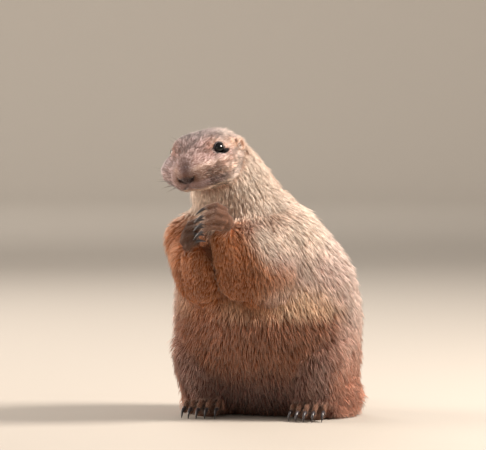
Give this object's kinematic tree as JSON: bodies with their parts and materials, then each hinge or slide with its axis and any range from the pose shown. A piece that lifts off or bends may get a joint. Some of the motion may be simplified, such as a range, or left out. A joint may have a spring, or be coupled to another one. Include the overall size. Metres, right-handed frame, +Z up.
{
  "type": "prairie dog",
  "caption": "Still life-size model of a black-tailed prairie dog sitting up on its haunches, head turned, forepaws held below the mouth.",
  "frame": {"origin": "on the floor, at the middle of the box that the whole animal fills", "axes": "+Z up, -Y the way the hips and feet face, +X the animal's own left, +Y towards the tail"},
  "size_m": [0.15, 0.238, 0.2278],
  "materials": {
    "back": "short pale cinnamon fur of the back, flanks and thighs, each hair tipped with cream",
    "belly": "warm tan-brown fur of the belly and arms, finer and flatter than on the back",
    "face": "very short grey-brown face fur with a pale cheek and a grey nose",
    "paw": "thinly haired grey-brown skin of the paws and feet",
    "claw": "dark charcoal horn with a dull sheen",
    "eye": "wet, nearly black eye with a sharp highlight",
    "tail_tip": "blackish fur of the last third of the tail"
  },
  "bodies": {
    "root": {"head": "face", "neck": "back", "chest": "back", "abdomen": "back", "upper_arm_left": "belly", "forearm_left": "belly", "forepaw_left": "paw", "finger_claw_left_1": "claw", "finger_claw_left_2": "claw", "finger_claw_left_3": "claw", "finger_claw_left_4": "claw", "thigh_left": "back", "hind_foot_left": "paw", "toe_claw_left_1": "claw", "toe_claw_left_2": "claw", "toe_claw_left_3": "claw", "toe_claw_left_4": "claw", "toe_claw_left_5": "claw", "eye_left": "eye", "ear_left": "face", "upper_arm_right": "belly", "forearm_right": "belly", "forepaw_right": "paw", "finger_claw_right_1": "claw", "finger_claw_right_2": "claw", "finger_claw_right_3": "claw", "finger_claw_right_4": "claw", "thigh_right": "back", "hind_foot_right": "paw", "toe_claw_right_1": "claw", "toe_claw_right_2": "claw", "toe_claw_right_3": "claw", "toe_claw_right_4": "claw", "toe_claw_right_5": "claw", "eye_right": "eye", "ear_right": "face", "tail": "back", "tail_tip": "tail_tip"}
  },
  "joints": []
}
